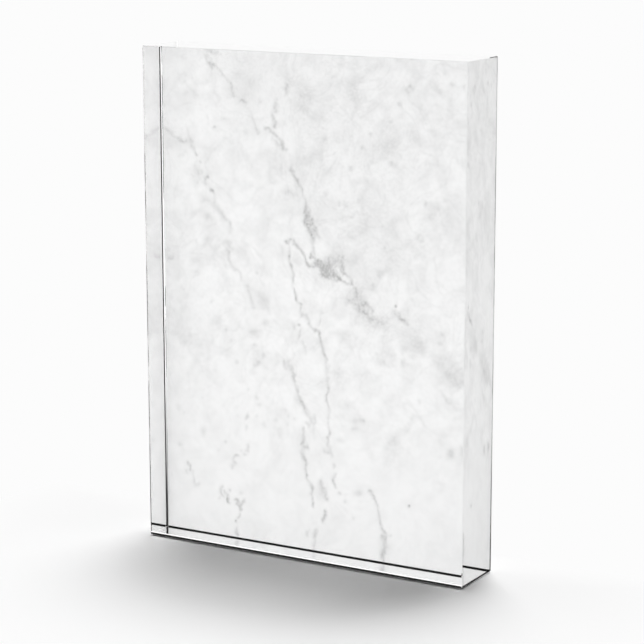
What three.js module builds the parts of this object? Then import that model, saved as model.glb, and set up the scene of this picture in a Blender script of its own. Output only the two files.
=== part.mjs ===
// A free-standing photo block: a thick slab of clear acrylic with a marble-patterned print bonded
// to its back. Millimetres, +Z up. The clear front faces -Y, and the origin is the middle of the
// footprint, on the surface that the block stands on.

import * as THREE from "three";

// Driving dimensions
const blockWidth = 127; // a 5 inch print
const blockHeight = 177.8; // a 7 inch print
const slabThickness = 22.2;
const edgeBevel = 0.2; // leg of the fine polished bevel along every edge of the slab
const opticalFilmThickness = 0.05; // clear adhesive between the slab and the print
const printThickness = 0.25; // photo paper
const mountingFilmThickness = 0.05; // adhesive between the print and its backing
const backingThickness = 0.25; // white vinyl sheet
const trimMargin = 0.25; // how far the trimmed sheets stop short of the slab's bevel

// Depths are whole steps of a binary fraction of a millimetre. They then add up exactly in the
// 32-bit numbers that a mesh holds, so two bonded faces lie in one plane at any size.
const depthStep = 1 / 2048;
const exactDepth = (depth) => Math.round(depth / depthStep) * depthStep;

// What the sheets bonded to the slab share
const sheetInset = edgeBevel + trimMargin;
const sheetWidth = blockWidth - 2 * sheetInset;
const sheetHeight = blockHeight - 2 * sheetInset;

// Materials
const clearAcrylic = new THREE.MeshStandardMaterial({
  color: 0xf2f5f5,
  roughness: 0.03,
  metalness: 0,
  transparent: true,
  opacity: 0.25,
});
const clearAdhesive = new THREE.MeshStandardMaterial({
  color: 0xf6f6f2,
  roughness: 0.1,
  metalness: 0,
  transparent: true,
  opacity: 0.3,
});
const marblePaper = new THREE.MeshStandardMaterial({
  color: 0xf0f0f0,
  roughness: 0.35,
  metalness: 0,
});
const mountingAdhesive = new THREE.MeshStandardMaterial({
  color: 0xecebe6,
  roughness: 0.5,
  metalness: 0,
});
const whiteVinyl = new THREE.MeshStandardMaterial({
  color: 0xf3f3f1,
  roughness: 0.6,
  metalness: 0,
});

// Shapes lie in the picture plane: X to the right, Y up from the bottom edge, and Z from the
// shape's back face towards the viewer.

// The slab's outline, with its corners cut by the bevel that runs along the slab's depth.
function bevelledOutline(width, height, bevel) {
  const side = width / 2;
  const outline = new THREE.Shape();
  outline.moveTo(bevel - side, 0);
  outline.lineTo(side - bevel, 0);
  outline.lineTo(side, bevel);
  outline.lineTo(side, height - bevel);
  outline.lineTo(side - bevel, height);
  outline.lineTo(bevel - side, height);
  outline.lineTo(-side, height - bevel);
  outline.lineTo(-side, bevel);
  outline.closePath();
  return outline;
}

function squareOutline(width, height) {
  const side = width / 2;
  const outline = new THREE.Shape();
  outline.moveTo(-side, 0);
  outline.lineTo(side, 0);
  outline.lineTo(side, height);
  outline.lineTo(-side, height);
  outline.closePath();
  return outline;
}

// The clear slab, bevelled along all its edges. Its bevels reach one bevel leg to each side of
// the extruded depth, so its mesh is set that far in front of the slab's back face.
function slabGeometry(width, height, thickness, bevel) {
  return new THREE.ExtrudeGeometry(bevelledOutline(width, height, bevel), {
    depth: thickness - 2 * bevel,
    bevelThickness: bevel,
    bevelSize: bevel,
    bevelOffset: -bevel,
    bevelSegments: 1,
  });
}

function sheetGeometry(thickness) {
  return new THREE.ExtrudeGeometry(squareOutline(sheetWidth, sheetHeight), {
    depth: thickness,
    bevelEnabled: false,
  });
}

// The stack is laid up from the back towards the viewer, each layer bonded to the one before.
const layUp = new THREE.Group();
let frontSoFar = 0;

function addSheet(name, thickness, material) {
  const depth = exactDepth(thickness);
  const sheet = new THREE.Mesh(sheetGeometry(depth), material);
  sheet.name = name;
  sheet.position.set(0, sheetInset, frontSoFar);
  layUp.add(sheet);
  frontSoFar += depth;
}

function addSlab(name, thickness, bevel, material) {
  const depth = exactDepth(thickness);
  const leg = exactDepth(bevel);
  const slab = new THREE.Mesh(slabGeometry(blockWidth, blockHeight, depth, leg), material);
  slab.name = name;
  slab.position.set(0, 0, frontSoFar + leg);
  layUp.add(slab);
  frontSoFar += depth;
}

addSheet("backing_sheet", backingThickness, whiteVinyl);
addSheet("mounting_film", mountingFilmThickness, mountingAdhesive);
addSheet("marble_print", printThickness, marblePaper);
addSheet("optical_film", opticalFilmThickness, clearAdhesive);
addSlab("acrylic_block", slabThickness, edgeBevel, clearAcrylic);

// The finished stack stands up on its bottom edge, with its depth centred on the origin.
layUp.rotation.x = Math.PI / 2;
layUp.position.y = frontSoFar / 2;

const photoBlock = new THREE.Group();
photoBlock.add(layUp);

export default photoBlock;
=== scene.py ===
"""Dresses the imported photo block: clear acrylic, the marble print behind it, a floor, lights and a camera."""

import math

import bmesh
import bpy
import numpy as np
from mathutils import Matrix, Vector


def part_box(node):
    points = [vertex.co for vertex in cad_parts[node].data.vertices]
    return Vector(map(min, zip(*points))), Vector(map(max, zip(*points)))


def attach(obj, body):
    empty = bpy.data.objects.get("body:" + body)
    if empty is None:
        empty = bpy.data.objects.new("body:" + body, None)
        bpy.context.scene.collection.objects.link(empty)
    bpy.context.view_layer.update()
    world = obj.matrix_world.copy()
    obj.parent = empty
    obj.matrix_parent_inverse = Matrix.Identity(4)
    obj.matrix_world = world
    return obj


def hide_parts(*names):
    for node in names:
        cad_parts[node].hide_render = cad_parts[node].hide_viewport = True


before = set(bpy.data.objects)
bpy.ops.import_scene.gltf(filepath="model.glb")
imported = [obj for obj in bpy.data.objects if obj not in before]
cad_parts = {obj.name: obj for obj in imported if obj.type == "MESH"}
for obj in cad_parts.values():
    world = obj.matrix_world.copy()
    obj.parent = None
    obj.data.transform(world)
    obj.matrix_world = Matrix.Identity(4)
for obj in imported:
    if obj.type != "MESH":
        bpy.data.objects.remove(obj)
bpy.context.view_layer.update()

MM = 0.001

# The photograph's camera, found from the block's edges
FRAME_PIXELS = 644
FOCAL_PIXELS = 2281.4
SENSOR_MM = 36.0
CAMERA_PLACE = Vector((0.3926, -0.6723, 0.2443))
CAMERA_YAW = math.radians(30.132)
CAMERA_PITCH = math.radians(-11.668)
CAMERA_ROLL = math.radians(-0.084)

# The noise in the materials: its features per metre and its detail, then the span of the noise that is
# used, and the two values that the span is stretched to.
POLISH = {"scale": 60, "detail": 3, "span": (0.3, 0.7), "look": (0.0, 0.02)}
EDGE_BREAKS = {"scale": 60, "detail": 3, "span": (0.46, 0.54), "look": (0, 0.9)}
MOTTLE = {"scale": 130, "detail": 8, "distortion": 0.6, "span": (0.4, 0.75), "look": (0, 0.24)}
PAPER_GRAIN = {"scale": 800, "detail": 4, "span": (0.4, 0.7), "look": (0, 0.09)}
VEIN_GRAIN = {"scale": 1100, "detail": 4, "span": (0.35, 0.65), "look": (0.65, 1.3)}
PAPER_SATIN = {"scale": 200, "detail": 3, "span": (0.3, 0.7), "look": (0.4, 0.5)}
SHEET_TINT = {"scale": 40, "detail": 4, "span": (0.35, 0.65), "look": (0, 1)}
SHEET_SATIN = {"scale": 90, "detail": 3, "span": (0.3, 0.7)}
CLEAR_TINT = {"scale": 15, "detail": 2}
BUMP_DETAIL = 3

# The clear slab
BLOCK_IOR = 1.69  # the photograph's block bends light more strongly than common clear acrylic, at 1.49
EDGE_BEVEL = 0.2 * MM
BAND_ENDS = (0.45 * MM, 0.6 * MM, 0.8 * MM, 1.2 * MM, 2.1 * MM)  # where the bands along a side's edges end
OPTICAL_CONTACT = 0.01 * MM  # how far the slab reaches past the print's face, so that no air lies between
EDGE_LOW_Z = (12 * MM, 60 * MM)  # between these heights the upright edges pass into their foot, which carries more painted shade
FRONT_DASH = 14 * MM  # over this length from the left the front top bevel carries more painted shade
SIDE_DASH = 6 * MM  # and over this length from the back the right top bevel
# the black of the painted shade on the cut edges
PAINTED_SHADE_BLACK = 0.02
# the white of the painted highlight on some cut edges
PAINTED_HIGHLIGHT_WHITE = 0.97
EDGE_ROUGHNESS = 0.4
PAINTED_GLOW = 0.3  # the painted highlight on the cut edges also glows a little, though no lamp is there
TOP_SHEEN = 0.75  # how much of the bright surroundings the slab's top mirrors, seen from low down
TOP_SHEEN_FACING = (0.5, 0.75)  # between these slants of the view the top passes from clear to that sheen
CLEAR_TINTS = ((1, 1, 1), (0.99, 0.995, 0.995))
POLISH_WAVE_SCALE = 25  # the polished faces have a very slight wave, in waves per metre
POLISH_WAVE_HEIGHT = 0.002 * MM

# How much painted shade the cut edges carry, from 0, clear, to 1. First the bevels and corners, by the sides
# that meet there. A dash is the length of a top bevel that carries more painted shade than the rest of it.
BEVEL_LOOKS = {
    ("left", "front"): 0.9,
    ("right", "front"): 0.04,
    ("right", "back"): 0.4,
    ("front", "top"): 0.15,
    ("back", "top"): 0.3,
    ("front", "bottom"): 1.0,
    ("back", "bottom"): 1.0,
    ("right", "bottom"): 1.0,
    ("left", "front", "top"): 1.0,
    ("right", "front", "bottom"): 1.0,
    ("front", "dash"): 0.7,
    ("right", "dash"): 1.0,
}
# The bands on the first side along its edge with the second, from the bevel inwards
BAND_LOOKS = {
    ("front", "left"): (0.75,),
    ("back", "left"): (1.0,),
    ("left", "back"): (0.0, 0.0, 0.0, 1.0, 1.0),
    ("right", "back"): (0.6, 0.6, 0.5),
    ("front", "bottom"): (1.0, 1.0, 1.0),
    ("bottom", "front"): (1.0, 1.0, 1.0, 1.0, 0.4),
    ("back", "bottom"): (1.0,),
    ("right", "bottom"): (1.0, 1.0, 0.9),
    ("bottom", "right"): (1.0, 1.0, 1.0),
}
# The same for the foot of the upright edges, where the painted shade differs
FOOT_BEVEL_LOOKS = {
    ("left", "front"): 1.0,
    ("left", "back"): 1.0,
    ("right", "front"): 0.04,
    ("right", "back"): 1.0,
}
FOOT_BAND_LOOKS = {
    ("front", "left"): (1.0,),
    ("back", "left"): (0.35,),
    ("left", "back"): (1.0, 1.0, 1.0, 1.0, 0.8),
    ("right", "back"): (1.0, 1.0, 0.9, 0.5),
}
# How much noise breaks up the painted dark line there, but for its foot
BROKEN_BEVELS = {("left", "front"): 1.0, ("front", "top"): 0.6, ("front", "dash"): 0.7, ("back", "top"): 1.0}
BROKEN_BANDS = {("front", "left"): (1.0,), ("back", "left"): (1.0,), ("right", "back"): (0.5, 0.5, 0.5)}
# Where an edge carries a painted highlight instead of painted shade, above the foot and at the foot
PAINTED_HIGHLIGHT_BEVELS = {("left", "back"): 1.0}
PAINTED_HIGHLIGHT_BANDS = {("left", "back"): (1.0, 1.0, 0.5)}
FOOT_PAINTED_HIGHLIGHT_BANDS = {("front", "bottom"): (0.0, 0.0, 0.0, 1.0)}
# The slab's attributes that carry these looks, each with its bevels and its bands
EDGE_LOOKS = {
    "painted_shade_upper": (BEVEL_LOOKS, BAND_LOOKS),
    "painted_shade_foot": ({**BEVEL_LOOKS, **FOOT_BEVEL_LOOKS}, {**BAND_LOOKS, **FOOT_BAND_LOOKS}),
    "edge_broken": (BROKEN_BEVELS, BROKEN_BANDS),
    "painted_highlight_upper": (PAINTED_HIGHLIGHT_BEVELS, PAINTED_HIGHLIGHT_BANDS),
    "painted_highlight_foot": ({}, FOOT_PAINTED_HIGHLIGHT_BANDS),
}
SIDE_NAMES = (("left", "right"), ("front", "back"), ("bottom", "top"))
FACING = 0.1  # from this part of its normal on, a face counts as turned to a side

# The print
PRINT_CELL = 0.5 * MM  # cell of the fine grid that carries the veins
PRINT_WHITE = 0.97
VEIN_GREY = 0.5
PAPER_BUMP_SCALE = 1500
PAPER_BUMP_HEIGHT = 0.004 * MM
STREAKS_SCALE = 45
STREAKS_DETAIL = 5
STREAKS_DISTORTION = 1.5
STREAKS_WIDTH = 0.03  # how far the noise may be from its middle value on a streak
STREAKS_GREY = 0.09
MOTTLE_LOW_Z = (25 * MM, 75 * MM)  # between these heights the mottling grows to its full strength
MOTTLE_LOW_SHARE = 0.5  # its strength below them

# The drawing of the marble, in millimetres. Noise bends each vein off its points, by half the reach to
# each side, and makes the veins and clouds patchy, between the low and the high share.
VEIN_WANDER = {"reach": 1.4, "cell": 5, "layers": 3}
VEIN_FRAY = {"reach": 0.9, "cell": 1.3, "layers": 2}
VEIN_PATCHES = {"low": 0.7, "high": 1.3, "cell": 1.5, "layers": 2, "seed": 51}
CLOUD_PATCHES = {"low": 0.4, "high": 1.6, "cell": 6, "layers": 4, "seed": 61}
NOISE_VALUES = 256  # random values along each side of the noise, before it repeats
VEIN_ENDS = 3  # in half widths, how far from its line a vein has faded out
LEFT_FAINTER = 0.25  # how much fainter than drawn the veins at the upper left are
LEFT_FAINTER_X = (-15, -30)  # from the first x to the second they grow that faint
LEFT_FAINTER_Z = (45, 65)  # and from the first height to the second
# The veins, clouds and spots below were read off the photograph with an earlier fit of its camera. These
# give the x and z of that drawing for a place on the print: the parts of its x and z, then a shift.
DRAWN_X = (1.0031, -0.0008, -0.42)
DRAWN_Z = (-0.0034, 1.0018, 0.103)

# The two sheets that keep their solids: the material's name, its two tints, its roughness, and then its
# grain's features per metre and height
SHEETS = {
    "mounting_film": ("mounting_adhesive", (0.85, 0.84, 0.81), (0.8, 0.79, 0.75), 0.6, 900, 0.02 * MM),
    "backing_sheet": ("white_vinyl", (0.91, 0.91, 0.9), (0.87, 0.87, 0.86), 0.55, 2500, 0.03 * MM),
}
SHEET_ROUGHNESS_SPREAD = 0.06

# The light
SKY_LIGHT = 0.03
BACKGROUND_WHITE = 0.9735
FLOOR_COLOUR = 0.92
FLOOR_GLOW = 0.98  # what the floor gives back to the block, about as bright as an open floor
FLOOR_RADIUS = 3.0
FLOOR_GAP = 0.35 * MM  # the dark gap under the block
FLOOR_FADE = (0.064, 0.14)  # from the first radius to the second the floor passes into the white background
FLOOR_FADE_BACK = (-0.005, 0.03)  # and so it does along y, behind the block's front
KEY_ELEVATION = 66
KEY_AZIMUTH = -11
KEY_SPREAD = 30
KEY_STRENGTH = 3.16
FILL_ELEVATION = 3
FILL_AZIMUTH = 150
FILL_SPREAD = 4
FILL_STRENGTH = 1.48
# The share of its light that each side of the block holds back from the floor, so that the shadow is as
# deep as the photograph's
LIGHT_HELD = {"left": 0.38, "right": 0.9}

# The marble's veins, read one by one. Each is a run of points: x to the right of the block's middle and z
# above its foot, then the half width there, all in millimetres, and how dark it is, from 0 to 1.
VEINS = [
    # the vein that comes in at the top left
    [(-45, 177, 0.6, 0.35), (-43, 176.2, 0.9, 0.5), (-41, 175.8, 0.7, 0.4), (-39, 175, 0.6, 0.2)],
    [(-45.3, 174.6, 0.5, 0.4), (-44.8, 173.2, 0.6, 0.4), (-44.2, 172.3, 0.6, 0.5), (-42.6, 171.2, 0.8, 0.55)],
    [(-42.6, 171.2, 0.7, 0.5), (-42.5, 170.3, 0.5, 0.4)],
    [(-43.8, 172, 0.6, 0.5), (-42.3, 171.4, 0.6, 0.45), (-40.8, 171, 0.5, 0.4), (-39.6, 169.9, 0.5, 0.5),
     (-38, 168.2, 0.45, 0.4), (-36.2, 166.7, 0.45, 0.4), (-34.9, 165.8, 0.5, 0.45),
     (-34.4, 164.7, 0.55, 0.55), (-34.3, 162.8, 0.45, 0.35), (-33.7, 160.9, 0.45, 0.45)],
    [(-31, 159.3, 0.5, 0.75), (-29.7, 159.1, 0.5, 0.7), (-28.6, 158.6, 0.6, 0.35)],
    [(-28, 156.6, 0.8, 0.15), (-26.4, 154.6, 0.7, 0.2), (-25.7, 152, 0.6, 0.3), (-25.1, 150, 0.5, 0.35),
     (-24, 148.6, 0.6, 0.35)],
    # the vein that comes in at the left and runs down to the right
    [(-63.5, 148.6, 0.4, 0.3), (-62, 147.8, 0.6, 0.4), (-60.3, 147, 0.8, 0.35), (-59, 145.8, 0.5, 0.25),
     (-58, 145.1, 0.5, 0.4), (-56.8, 145.3, 0.6, 0.6), (-55.8, 144.3, 0.6, 0.7), (-54.6, 144, 0.6, 0.5),
     (-53.4, 144.6, 0.6, 0.3)],
    [(-54, 150.5, 0.4, 0.1), (-53, 147.5, 0.5, 0.2), (-52.4, 145.5, 0.6, 0.35), (-52, 144.2, 0.8, 0.5)],
    [(-52, 142.3, 0.7, 0.55), (-51.2, 141.2, 0.6, 0.35), (-50.4, 140.2, 0.6, 0.6), (-49.6, 139.7, 0.6, 0.65)],
    [(-48.6, 137.2, 0.4, 0.7), (-48.5, 136.8, 0.4, 0.7)],
    [(-46.3, 131.6, 0.6, 0.5), (-45.4, 131.8, 0.6, 0.85)],
    [(-46.3, 131, 0.5, 0.5), (-46.4, 130, 0.5, 0.45), (-46, 129.1, 0.5, 0.65)],
    [(-44, 127, 0.6, 0.7), (-43.4, 127, 0.7, 0.9), (-42.8, 126.5, 0.5, 0.6)],
    [(-42.8, 125.5, 0.5, 0.35), (-42.4, 124.5, 0.7, 0.35), (-42.6, 122.5, 1.2, 0.3), (-41, 121, 1.2, 0.3),
     (-39.7, 119.6, 1, 0.35), (-38.3, 118, 0.9, 0.45), (-37.4, 117, 0.7, 0.55)],
    [(-36.5, 116.8, 0.6, 0.3), (-35.4, 115.9, 0.6, 0.6), (-35.2, 114.2, 0.6, 0.3), (-35.8, 112.8, 0.6, 0.25)],
    [(-37.9, 109.3, 1, 0.3), (-36.4, 108.3, 1, 0.35), (-35.2, 107.2, 0.8, 0.35)],
    [(-37.5, 106.2, 0.8, 0.35), (-36.6, 105.9, 0.6, 0.55), (-36.8, 104, 0.6, 0.45), (-36.4, 102.2, 0.6, 0.4),
     (-35.6, 100.8, 0.6, 0.3), (-34.2, 99, 0.7, 0.45), (-32.8, 99.4, 0.6, 0.35), (-31.6, 98, 0.6, 0.35),
     (-31.3, 96, 0.6, 0.5)],
    [(-29.4, 93.8, 0.7, 0.25), (-28.3, 93.6, 0.6, 0.3)],
    [(-28.4, 92.3, 0.5, 0.35), (-27.4, 91, 0.6, 0.35), (-27.2, 89.5, 0.5, 0.35), (-26.7, 88, 0.6, 0.3),
     (-26.3, 86.2, 0.8, 0.35)],
    # broken pieces of vein, top middle
    [(-12.2, 166.3, 0.6, 0.25), (-12.2, 164.8, 0.9, 0.5), (-11.9, 163.6, 0.7, 0.45),
     (-12.8, 162.4, 0.6, 0.25)],
    [(-17, 160.8, 0.6, 0.25), (-17.3, 158.5, 1, 0.35), (-16.8, 156.8, 0.8, 0.35)],
    [(-17.7, 155.2, 0.5, 0.5), (-17.2, 153.8, 0.7, 0.5), (-16.9, 152.4, 0.8, 0.5), (-17.2, 151.1, 0.6, 0.7)],
    [(-21.6, 150.4, 0.8, 0.3), (-19.8, 150.3, 0.6, 0.65), (-19, 149.2, 0.5, 0.55)],
    [(-18.3, 149.6, 0.5, 0.35), (-17.2, 148.5, 0.5, 0.7), (-16.2, 148, 0.5, 0.6), (-15.2, 147.2, 0.5, 0.5),
     (-14.2, 146, 0.6, 0.4), (-14, 144.3, 0.8, 0.4), (-12.6, 143.4, 0.8, 0.35)],
    [(-18, 147.2, 0.6, 0.25), (-16.2, 145.8, 0.8, 0.3), (-14.4, 144.6, 0.9, 0.4)],
    # the main vein: fine at first, then two strands side by side
    [(-10.6, 138, 0.6, 0.3), (-10.4, 136.4, 0.7, 0.65), (-9.6, 135.4, 0.5, 0.5), (-8.8, 134.2, 0.5, 0.45),
     (-7.9, 132.8, 0.6, 0.65), (-6.9, 131.4, 0.5, 0.5), (-6.1, 130.2, 0.5, 0.4), (-5.9, 128.6, 0.5, 0.35),
     (-5.3, 127, 0.5, 0.35), (-5, 125.2, 0.5, 0.4), (-4.7, 123.6, 0.7, 0.55)],
    [(-4.6, 123, 0.9, 0.55), (-4.5, 121, 1.1, 0.8), (-4.8, 119, 1.1, 0.85), (-4.4, 117.4, 0.8, 0.8),
     (-3.7, 115.9, 0.7, 0.7), (-2.7, 114.5, 0.6, 0.5)],
    [(-3.2, 122.5, 0.6, 0.35), (-2.6, 120, 0.8, 0.45), (-2.1, 118.2, 0.9, 0.55), (-1.2, 116.6, 0.8, 0.5),
     (-0.3, 115, 0.8, 0.5), (0.7, 113.3, 0.5, 0.35)],
    [(-3.3, 118, 1.3, 0.4), (-2.3, 115.5, 1.2, 0.4), (-2.1, 113, 0.9, 0.45), (-2.1, 111, 0.9, 0.4),
     (-1.4, 109.3, 0.7, 0.45), (-1.3, 107.8, 0.6, 0.4), (-1, 106, 0.6, 0.5)],
    # the knot that it runs into
    [(-3.1, 106.8, 0.5, 0.7), (-2.6, 107.9, 0.6, 0.6), (-2, 107, 0.5, 0.7)],
    [(-1.2, 105.2, 0.7, 0.75), (-0.6, 105.6, 0.6, 0.6), (0.3, 105.9, 0.6, 0.75), (1.2, 105.2, 0.7, 0.6)],
    [(-3.3, 103.6, 0.8, 0.45), (-1.8, 103.5, 0.7, 0.6), (0, 104.3, 0.9, 0.65), (1.8, 103.3, 1.5, 0.85),
     (3.6, 102.3, 1.9, 0.95), (5.4, 101.8, 1.6, 0.85), (7.3, 101.3, 1.2, 0.75), (8.6, 100.3, 0.8, 0.75)],
    [(2, 101, 1, 0.8), (3.7, 100.4, 1, 0.9), (4.8, 99.9, 0.7, 0.6)],
    [(8.6, 100.2, 0.6, 0.75), (9.8, 99.4, 0.6, 0.65), (11, 98.6, 0.6, 0.55), (12.3, 98.3, 0.6, 0.5),
     (13.3, 98.4, 0.6, 0.4)],
    [(9.6, 104, 0.8, 0.45), (10.4, 102.4, 0.8, 0.8), (11.5, 101.9, 0.6, 0.5), (12.6, 101, 0.5, 0.4),
     (13.5, 99.4, 0.5, 0.55), (14, 98.2, 0.5, 0.7)],
    [(9.9, 107.5, 0.8, 0.3), (10.2, 105.5, 0.8, 0.4), (9.9, 104, 0.7, 0.4)],
    [(4.5, 106.5, 1.5, 0.3), (6.5, 105.3, 1.8, 0.4), (8.5, 106.5, 1.5, 0.3)],
    [(4.5, 104.5, 1.2, 0.5), (6.5, 104, 1, 0.4)],
    [(6.5, 99.4, 0.6, 0.4), (8, 99.3, 0.5, 0.35)],
    # its tail to the right
    [(14.8, 97.6, 0.5, 0.35), (15.2, 96, 0.7, 0.5), (15.4, 95.2, 0.5, 0.3)],
    [(12.2, 92.5, 1.2, 0.4), (13.6, 92.6, 1.2, 0.5), (14.2, 91, 1.1, 0.35)],
    [(16, 94, 1.5, 0.35), (16.6, 92, 1.5, 0.35), (15.8, 90, 1.2, 0.4)],
    [(18, 91.6, 0.7, 0.6), (19.2, 92.5, 0.9, 0.75), (20.4, 91.6, 0.6, 0.5), (21.3, 90.6, 0.6, 0.7),
     (22, 90, 0.6, 0.5)],
    [(16.5, 90, 0.7, 0.4), (18, 89.5, 0.7, 0.5), (19.2, 89, 0.7, 0.65), (20.2, 87.6, 0.6, 0.5),
     (21.2, 86.6, 0.8, 0.65), (22.2, 87, 0.7, 0.5)],
    [(25.5, 85.5, 0.8, 0.3), (27, 84, 1, 0.2)],
    [(30.2, 89.5, 1.2, 0.35), (31.8, 89.2, 1, 0.4), (32.6, 88, 0.7, 0.6), (33.6, 87.6, 0.7, 0.65),
     (34.4, 86.5, 0.7, 0.5), (35.3, 86, 0.5, 0.5)],
    [(30.7, 92.3, 0.35, 0.95), (30.7, 91.9, 0.35, 0.95)],
    [(46.5, 74.5, 1.1, 0.12), (47.8, 73.5, 1.2, 0.17), (49.3, 71.8, 1, 0.15), (50.8, 71, 0.9, 0.3),
     (51.8, 69.8, 1.2, 0.17), (53.2, 68.5, 1.4, 0.17), (55, 66.8, 1.3, 0.15)],
    [(57, 68.5, 1.8, 0.15), (59, 66.8, 1.8, 0.2), (61, 65, 1.4, 0.18), (63, 62.5, 1.2, 0.14)],
    [(46.5, 65, 0.7, 0.1), (48.5, 63.9, 0.6, 0.18), (50.2, 62.4, 0.6, 0.24), (51.8, 61, 0.6, 0.21),
     (53.2, 59.8, 0.6, 0.15), (54.6, 58.6, 0.7, 0.12)],
    # the long vein down the middle, which starts as two branches
    [(-13.3, 111.5, 0.4, 0.4), (-12.5, 111, 0.5, 0.85), (-11.7, 110.7, 0.5, 0.7)],
    [(-11.4, 111.6, 0.4, 0.5), (-10.5, 112.2, 0.4, 0.55), (-9.6, 111.8, 0.5, 0.5), (-9.3, 110.8, 0.5, 0.6),
     (-8.3, 110.2, 0.45, 0.6), (-7, 109, 0.45, 0.6), (-5.9, 107.6, 0.5, 0.65), (-5, 106, 0.5, 0.65),
     (-4.4, 105, 0.5, 0.6), (-3.9, 103.8, 0.6, 0.6), (-3.5, 103, 0.6, 0.4)],
    [(-11.2, 109.6, 0.6, 0.3), (-11.6, 107.4, 0.6, 0.35), (-11.2, 105.6, 0.55, 0.75), (-11, 104.2, 0.5, 0.4),
     (-10.9, 103, 0.6, 0.65), (-10.5, 101.4, 0.45, 0.4), (-10.1, 99.5, 0.6, 0.5), (-10.2, 97.2, 0.5, 0.4),
     (-10.2, 95.4, 0.4, 0.4), (-9.7, 94, 0.45, 0.6), (-9.2, 92.6, 0.5, 0.7), (-8.6, 91, 0.6, 0.95),
     (-8.3, 90.1, 0.45, 0.5), (-7.4, 89.8, 0.35, 0.35), (-7, 89.2, 0.35, 0.85), (-6.9, 88.1, 0.35, 0.75),
     (-7.1, 86.9, 0.6, 0.3), (-6.3, 85.7, 0.8, 0.4), (-4.8, 85.4, 0.6, 0.4), (-4, 84, 0.5, 0.35),
     (-3.3, 82.7, 0.65, 0.5), (-2.5, 81.4, 0.5, 0.35), (-1.4, 80.6, 0.5, 0.4), (-0.7, 80.3, 0.7, 0.75),
     (0.3, 80.4, 0.5, 0.5), (1, 79.6, 0.55, 0.6), (1.1, 78.2, 0.45, 0.6), (1.5, 77, 0.4, 0.45),
     (2, 75.3, 0.5, 0.5), (2.1, 73.6, 0.55, 0.5), (2.3, 72.2, 0.55, 0.6), (3, 71.2, 0.5, 0.55),
     (3.8, 70.5, 0.4, 0.5)],
    [(3.2, 70, 0.8, 0.2), (3.2, 67, 0.8, 0.28), (3.9, 64, 0.9, 0.22), (4.2, 61.5, 0.7, 0.3),
     (4.4, 60, 0.5, 0.5), (4.4, 58.9, 0.5, 0.5), (3.6, 57.6, 0.5, 0.5), (3.8, 56, 0.5, 0.55),
     (4.2, 54.2, 0.5, 0.45), (4.9, 52.6, 0.8, 0.25), (4.6, 50, 0.7, 0.22), (4.5, 47.5, 0.6, 0.28),
     (4.7, 45.8, 0.5, 0.35), (5.2, 44.6, 0.55, 0.6), (4.5, 43.4, 0.4, 0.4), (4.4, 42.2, 0.45, 0.6),
     (4.6, 41, 0.5, 0.4), (5, 39.4, 0.5, 0.35), (5.2, 37.5, 0.8, 0.25), (5.4, 35.6, 0.6, 0.2)],
    [(3.2, 37.5, 0.9, 0.25), (4.2, 37.2, 0.8, 0.35)],
    [(6.4, 33, 0.7, 0.45), (6.5, 32.3, 0.6, 0.35)],
    [(7, 29.8, 0.6, 0.25), (6.2, 28, 0.6, 0.45), (6.5, 27, 0.6, 0.6), (7.1, 25.6, 0.5, 0.5),
     (7.6, 24.5, 0.4, 0.15)],
    [(8.6, 23.2, 0.7, 0.35), (8.8, 22.9, 0.6, 0.3)],
    [(-7.65, 82, 0.55, 0.7), (-7.6, 81.8, 0.55, 0.7)],
    [(-9.8, 82.5, 0.6, 0.2), (-9.9, 80.4, 0.6, 0.3)],
    [(-7.2, 79.8, 0.5, 0.3), (-7.4, 78.6, 0.5, 0.35), (-8, 76.8, 0.6, 0.2), (-8.6, 75.2, 0.5, 0.12)],
    [(-6.3, 75.8, 0.6, 0.25), (-5.2, 74, 0.6, 0.25), (-5, 72, 0.5, 0.2)],
    [(0.3, 82, 0.35, 0.2), (0.8, 84, 0.35, 0.22), (1.2, 86, 0.4, 0.15), (1.9, 88, 0.6, 0.12)],
    # the vein to its left
    [(-13.8, 68.3, 0.7, 0.4), (-13.7, 67, 0.6, 0.4), (-12.8, 66.1, 0.5, 0.25)],
    [(-11.9, 68.3, 0.8, 0.3), (-11.4, 66.6, 0.8, 0.35), (-10.6, 65, 0.7, 0.35), (-10, 63.7, 0.7, 0.6),
     (-9.8, 62.4, 0.6, 0.55), (-9, 60.6, 0.5, 0.4), (-8.3, 59, 0.7, 0.4), (-7.9, 57.4, 0.6, 0.5),
     (-7.4, 56, 0.5, 0.6), (-7.1, 54.8, 0.6, 0.65), (-6.5, 53.4, 0.6, 0.55), (-5.6, 52.6, 0.5, 0.6),
     (-4.8, 51.6, 0.8, 0.35), (-3.8, 50.3, 1, 0.35), (-2.8, 48.8, 0.7, 0.4), (-2.6, 47.8, 0.6, 0.4)],
    [(-4, 47, 0.7, 0.4), (-3.2, 46.9, 0.6, 0.35), (-3.8, 45.5, 0.6, 0.25)],
    [(-1.5, 50, 0.6, 0.22), (-1.3, 48, 0.7, 0.28), (-1.6, 46, 0.7, 0.18), (-1.2, 42, 0.6, 0.12)],
    [(-5.9, 45, 0.5, 0.5), (-5.8, 43.6, 0.5, 0.35), (-5.9, 41.4, 0.5, 0.4), (-6, 40.3, 0.5, 0.5),
     (-6.6, 39.3, 0.6, 0.6), (-6, 38, 0.5, 0.3), (-6.3, 36, 0.7, 0.35), (-6, 34.6, 0.6, 0.5),
     (-5.3, 33.6, 0.7, 0.65), (-4.9, 32.6, 0.6, 0.55), (-5.2, 30.8, 0.5, 0.4), (-4.9, 29.4, 0.5, 0.4),
     (-4.4, 28.1, 0.6, 0.7), (-4.4, 27, 0.4, 0.4), (-3.4, 25.8, 0.6, 0.3), (-2.4, 24.7, 0.7, 0.45),
     (-1.8, 23.7, 0.6, 0.5), (-2.1, 22.6, 0.55, 0.7), (-3, 21.2, 0.7, 0.4), (-2.6, 20, 0.4, 0.5),
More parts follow.
